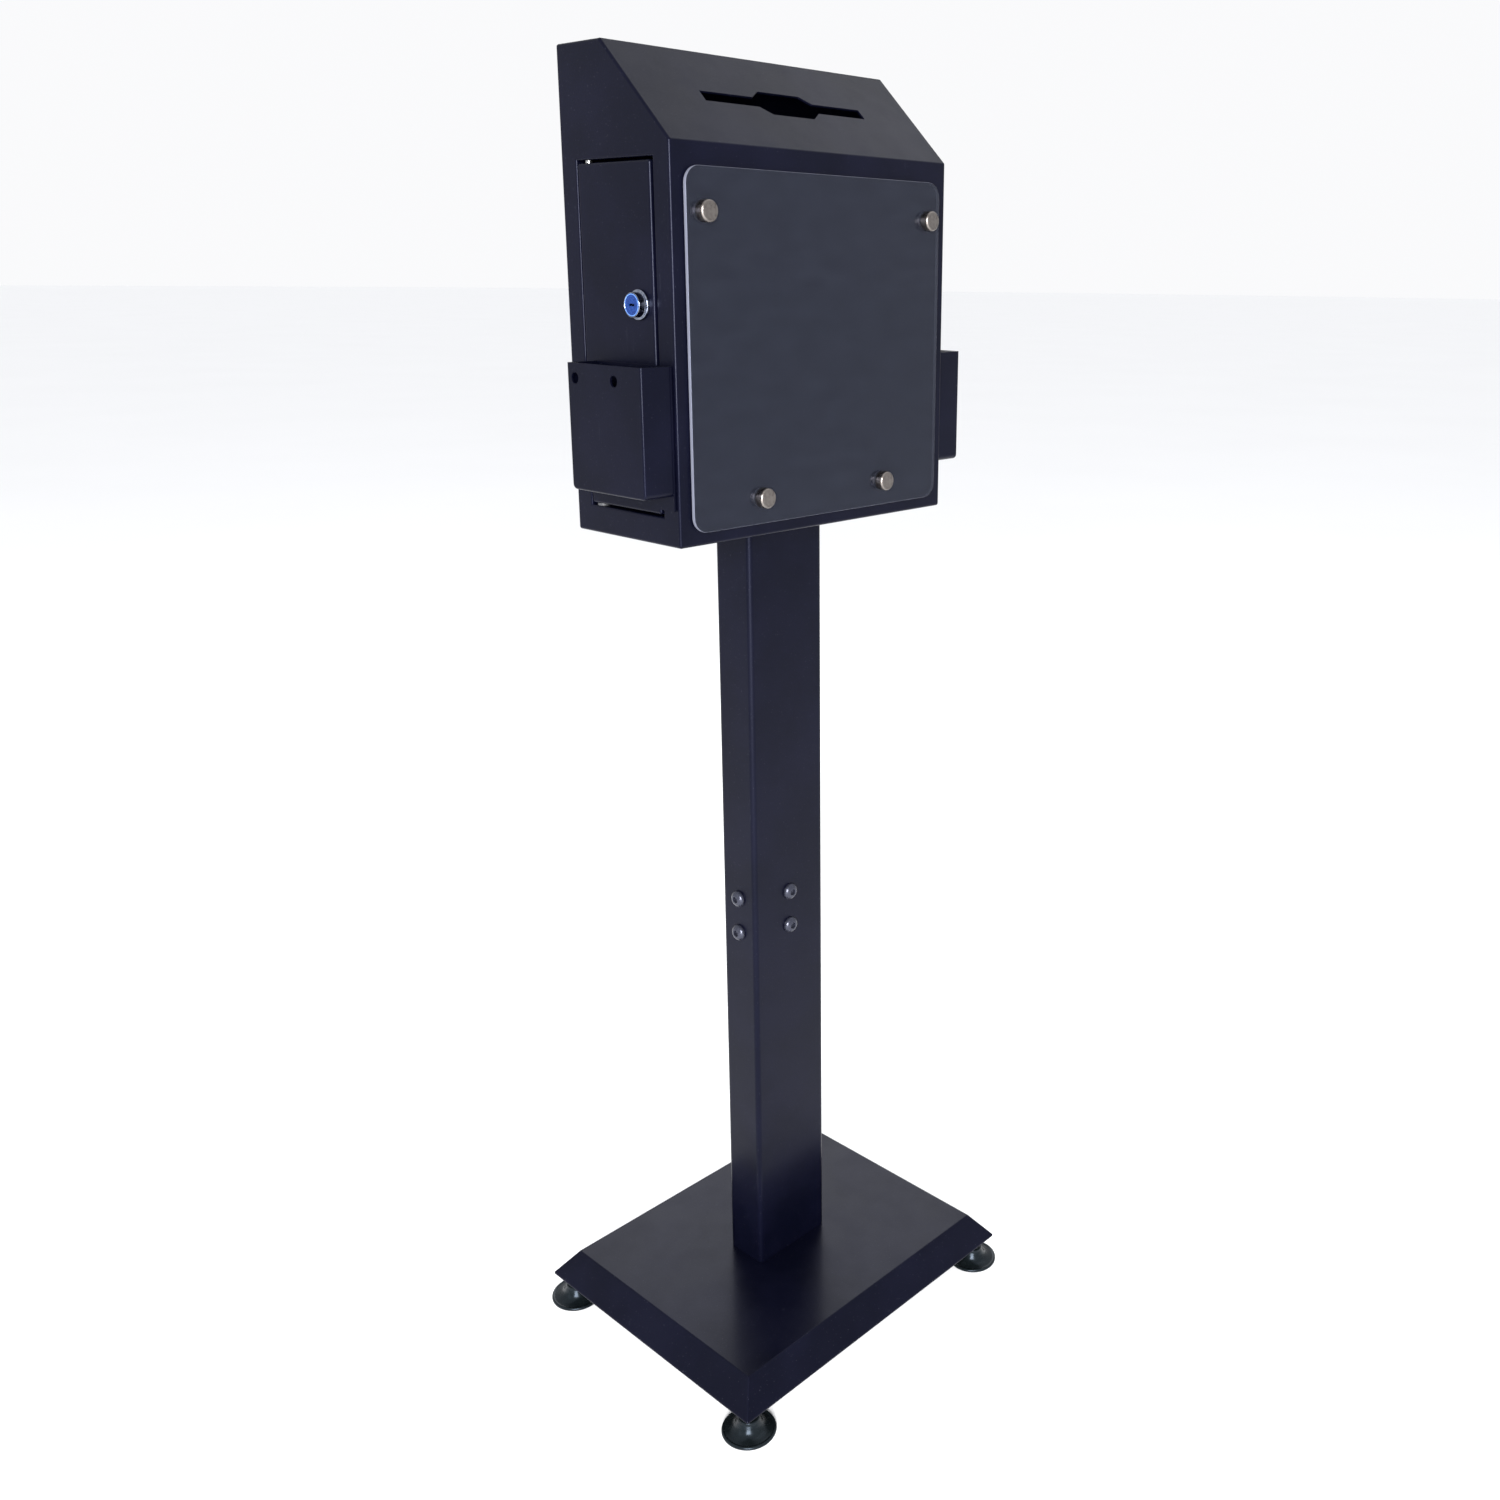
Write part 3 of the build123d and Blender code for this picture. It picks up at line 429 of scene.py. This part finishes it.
# ---- sign caps -----------------------------------------------------------------------------------
def make_sign_caps():
    panel_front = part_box("sign_panel")[0].y
    for number, (low, high) in enumerate(solid_boxes("sign_caps"), 1):
        radius = (high.x - low.x) / 2
        height = panel_front - low.y
        neck = 4.0 * MM
        chamfer = 0.9 * MM
        easing = 0.25 * MM
        profile = [(neck, panel_front - high.y), (neck, 0), (radius - easing, 0)]
        profile += arc((radius - easing, easing), (easing, easing), -90, 0, 4)
        profile += [(radius, height - chamfer - easing), (radius - 0.07 * MM, height - chamfer)]
        profile += [(radius - chamfer + 0.1 * MM, height - 0.12 * MM), (radius - chamfer - 0.15 * MM, height)]
        profile += [(radius - chamfer - 0.6 * MM, height), (0.5 * MM, height - 0.02 * MM)]
        centre = ((low.x + high.x) / 2, panel_front, (low.z + high.z) / 2)
        skin(f"sign_cap_{number}", [circle(r, h) for r, h in profile],
             stainless, "stand", ["sign_caps"], facing(centre, (0, -1, 0)))


# ---- button screws at the post's joint -----------------------------------------------------------
def make_joint_screws():
    tube_low, tube_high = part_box("post_upper_tube")
    for number, (low, high) in enumerate(solid_boxes("post_joint_screws"), 1):
        centre = (low + high) / 2
        across = abs(centre.x) > abs(centre.y)
        axis = 0 if across else 1
        side = 1 if centre[axis] > 0 else -1
        face = tube_high[axis] if side > 0 else tube_low[axis]
        tip = high[axis] if side > 0 else low[axis]
        inner = low[axis] if side > 0 else high[axis]
        radius = (high.z - low.z) / 2
        height = abs(tip - face)
        length = abs(face - inner)
        shank = 4.0 * MM
        socket = 5.0 * MM
        depth = 2.6 * MM
        brim = 0.7 * MM
        loops = [circle(shank - 0.6 * MM, -length), circle(shank, -length + 0.6 * MM), circle(shank, 0)]
        loops += [circle(radius - 0.2 * MM, 0), circle(radius, 0.2 * MM)]
        top = 59
        for i in range(13):
            angle = math.radians(top * i / 12)
            rise = (height - brim) * math.sin(angle) / math.sin(math.radians(top))
            loops.append(circle(radius * math.cos(angle), brim + rise))
        loops += [hexagon(socket + 0.5 * MM, height), hexagon(socket, height - 0.25 * MM)]
        loops += [hexagon(socket, height - depth), circle(0.8 * MM, height - depth - 0.5 * MM)]
        spot = Vector(centre)
        spot[axis] = face
        outwards = Vector((0, 0, 0))
        outwards[axis] = side
        skin(f"post_joint_screw_{number}", loops, screw_black, "stand",
             ["post_joint_screws"], facing(spot, outwards))


# ---- levelling feet ------------------------------------------------------------------------------
PITCH = 1.25 * MM


def foot_pad_profile(radius, height):
    """Flat underside with a shallow recess, a rolled rim, a dished bell and a short hub."""
    rim = 1.6 * MM
    hub = 8.5 * MM
    profile = [(1.0 * MM, 0.8 * MM), (radius - 6.0 * MM, 0.8 * MM), (radius - 5.2 * MM, 0)]
    profile += arc((radius - rim, rim), (rim, rim), -90, 110, 14)
    profile += [(radius - 2.9 * MM, 2.75 * MM), (radius - 3.8 * MM, 3.0 * MM)]
    start = Vector((radius - 3.8 * MM, 3.0 * MM))
    finish = Vector((hub + 0.4 * MM, height - 2.2 * MM))
    lean = Vector((start.x - 7.5 * MM, start.y + 1.6 * MM))
    climb = Vector((finish.x + 2.2 * MM, finish.y - 4.2 * MM))
    for i in range(1, 17):
        t = i / 16
        point = start * (1 - t) ** 3 + lean * 3 * t * (1 - t) ** 2
        point += climb * 3 * t * t * (1 - t) + finish * t ** 3
        profile.append((point.x, point.y))
    profile += arc((hub - 0.6 * MM, height - 1.0 * MM), (1.0 * MM, 1.0 * MM), 0, 90, 6)
    socket = 5.1 * MM
    profile += [(socket + 0.3 * MM, height), (socket, height - 0.3 * MM), (socket, height - 4 * MM)]
    return profile


def thread_loops(radius, z_low, z_high, count=40, steps=8):
    """A helical thread cut into a rod: the groove follows the angle round the rod."""
    deep = 0.55 * MM
    total = int((z_high - z_low) / PITCH * steps)
    loops = []
    for k in range(total + 1):
        z = z_low + (z_high - z_low) * k / total
        loop = []
        for i in range(count):
            angle = 2 * math.pi * i / count
            phase = ((z - z_low) / PITCH - i / count) % 1
            cut = deep * (1 - abs(2 * phase - 1))
            fade = min(1.0, (z - z_low) / PITCH, (z_high - z) / PITCH)
            r = radius - cut * fade
            loop.append((r * math.cos(angle), r * math.sin(angle), z))
        loops.append(loop)
    return loops


def make_feet():
    for corner in ("front_left", "front_right", "rear_left", "rear_right"):
        low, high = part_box(f"foot_pad_{corner}")
        centre = (low + high) / 2
        floor = Vector((centre.x, centre.y, low.z))
        profile = foot_pad_profile((high.x - low.x) / 2, high.z - low.z)
        skin(f"foot_{corner}", [circle(r, h, 96) for r, h in profile], plastic,
             f"foot_{corner}", [f"foot_pad_{corner}"], facing(floor, (0, 0, 1)))
        stud_low, stud_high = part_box(f"foot_stud_{corner}")
        radius = 4.0 * MM
        base = stud_low.z - low.z
        top = stud_high.z - low.z
        neck = high.z - low.z + 4.2 * MM
        loops = [circle(1.6 * MM, base, 40)]
        ball = arc((0, base + 5 * MM), (5 * MM, 5 * MM), -65, 50, 8)
        loops += [circle(r, h, 40) for r, h in ball]
        loops += [circle(radius - 0.5 * MM, base + 9.6 * MM, 40), circle(radius - 0.5 * MM, neck, 40)]
        loops += thread_loops(radius, neck + 0.2 * MM, top - 0.7 * MM)
        loops += [circle(radius - 0.8 * MM, top, 40)]
        skin(f"stud_{corner}", loops, zinc, f"foot_{corner}",
             [f"foot_stud_{corner}"], facing(floor, (0, 0, 1)))


def make_jam_nuts():
    for number, (low, high) in enumerate(solid_boxes("foot_jam_nuts"), 1):
        flats = min(high.x - low.x, high.y - low.y)
        height = high.z - low.z
        corner = flats / 2 / math.cos(math.pi / 6)
        limit = flats / 2 + 0.15 * (corner - flats / 2)
        bore = 4.1 * MM
        tilt = 0.55
        loops = [circle(bore, 0.3 * MM), circle(bore + 0.3 * MM, 0), hexagon(flats, 0, limit=limit)]
        loops += [hexagon(flats, 0, limit=limit, slope=tilt), hexagon(flats, height, limit=limit, slope=-tilt)]
        loops += [hexagon(flats, height, limit=limit), circle(bore + 0.3 * MM, height)]
        loops += [circle(bore, height - 0.3 * MM), circle(bore, 0.3 * MM)]
        centre = ((low.x + high.x) / 2, (low.y + high.y) / 2, low.z)
        skin(f"foot_jam_nut_{number}", loops, zinc, "stand", ["foot_jam_nuts"],
             facing(centre, (0, 0, 1)), ring=True)


# ---- cam lock ------------------------------------------------------------------------------------
def make_lock():
    low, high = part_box("lock_housing")
    ring_low, ring_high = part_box("lock_face_ring")
    plug_low, plug_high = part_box("lock_plug")
    door_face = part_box("door")[0].x
    bore = (plug_high.z - plug_low.z) / 2 + 0.05 * MM
    face = (ring_high.z - ring_low.z) / 2 + 0.06 * MM
    flange = (high.z - low.z) / 2
    bezel = 8.4 * MM
    barrel = 8.45 * MM
    reach = door_face - low.x
    step = 2.2 * MM
    profile = [(bore, -(high.x - door_face)), (barrel, -(high.x - door_face))]
    turns = 9
    run = (high.x - door_face - 1.6 * MM) / turns
    for i in range(turns):
        at = -(high.x - door_face) + 0.3 * MM + i * run
        profile += [(barrel - 0.35 * MM, at + 0.25 * run), (barrel, at + 0.75 * run)]
    profile += [(barrel, 0), (flange - 0.2 * MM, 0), (flange, 0.25 * MM)]
    profile += arc((flange - 0.9 * MM, step - 0.9 * MM), (0.9 * MM, 0.9 * MM), 0, 90, 8)
    profile += [(bezel + 0.9 * MM, step), (bezel + 0.2 * MM, step + 0.25 * MM), (bezel, step + 0.8 * MM)]
    profile += [(bezel, reach - 1.2 * MM)]
    profile += arc((bezel - 0.45 * MM, reach - 0.45 * MM), (0.45 * MM, 0.45 * MM), 0, 90, 8)
    profile += [(face + 0.2 * MM, reach), (face, reach - 0.2 * MM)]
    profile += [(face, reach - (ring_high.x - ring_low.x)), (bore, reach - (ring_high.x - ring_low.x))]
    profile += [(bore, -(high.x - door_face))]
    centre = (door_face, (low.y + high.y) / 2, (low.z + high.z) / 2)
    skin("lock_case", [circle(r, h, 96) for r, h in profile], lock_chrome, "door",
         ["lock_housing"], facing(centre, (-1, 0, 0)), ring=True)
    rim = arc((face - 0.42 * MM, 0), (0.34 * MM, 0.34 * MM), 0, 360, 16)
    rim[-1] = rim[0]
    rim_centre = (ring_low.x + 0.12 * MM, centre[1], centre[2])
    skin("lock_ring_rim", [circle(r, h, 96) for r, h in rim], rim_blue, "lock_core",
         place=facing(rim_centre, (-1, 0, 0)), ring=True)


make_sign_caps()
make_joint_screws()
make_feet()
make_jam_nuts()
make_lock()


# ---- floor and light -----------------------------------------------------------------------------
FLOOR_RADIUS = 60.0
AMBIENT = 1.0
FLOOR_TONE = 0.97


def make_floor():
    finish = Shader("studio_floor", (0.93, 0.93, 0.935), 0.9)
    tone = finish.noise(0.9, 2)
    finish.colour(finish.mix(tone, (0.92, 0.92, 0.925), (0.95, 0.95, 0.955)))
    bm = bmesh.new()
    bmesh.ops.create_circle(bm, cap_ends=True, segments=128, radius=FLOOR_RADIUS)
    mesh = bpy.data.meshes.new("studio_floor")
    bm.to_mesh(mesh)
    bm.free()
    floor = bpy.data.objects.new("studio_floor", mesh)
    bpy.context.scene.collection.objects.link(floor)
    paint(floor, finish.material)


def softbox(name, place, target, size, power, colour=(1, 1, 1)):
    data = bpy.data.lights.new(name, "AREA")
    data.shape = "RECTANGLE"
    data.size, data.size_y = size
    data.energy = power
    data.color = colour
    lamp = bpy.data.objects.new(name, data)
    away = Vector(place) - Vector(target)
    lamp.matrix_world = facing(place, away)
    lamp.visible_camera = False
    bpy.context.scene.collection.objects.link(lamp)


def make_light():
    world = bpy.data.worlds.new("studio")
    bpy.context.scene.world = world
    world.use_nodes = True
    background = world.node_tree.nodes["Background"]
    background.inputs["Color"].default_value = (0.97, 0.98, 1.0, 1)
    background.inputs["Strength"].default_value = AMBIENT
    seen = world.node_tree.nodes.new("ShaderNodeBackground")
    seen.inputs["Color"].default_value = (0.985, 0.987, 1.0, 1)
    seen.inputs["Strength"].default_value = AMBIENT * FLOOR_TONE
    rays = world.node_tree.nodes.new("ShaderNodeLightPath")
    either = world.node_tree.nodes.new("ShaderNodeMixShader")
    links = world.node_tree.links
    links.new(rays.outputs["Is Camera Ray"], either.inputs[0])
    links.new(background.outputs[0], either.inputs[1])
    links.new(seen.outputs[0], either.inputs[2])
    links.new(either.outputs[0], world.node_tree.nodes["World Output"].inputs["Surface"])
    softbox("overhead", (1.3, -0.4, 2.6), (0, 0, 0.5), (1.6, 1.6), 6)
    softbox("behind", (1.45, 1.75, 1.8), (0, 0, 0.1), (2.2, 1.2), 26)
    softbox("left", (-2.2, 0.6, 1.4), (0, 0, 0.6), (1.0, 1.8), 4)
    softbox("by_camera", (-2.3, -2.2, 1.3), (0, 0, 0.7), (1.5, 1.8), 300)
    bpy.context.scene.view_settings.view_transform = "Standard"


make_floor()
make_light()
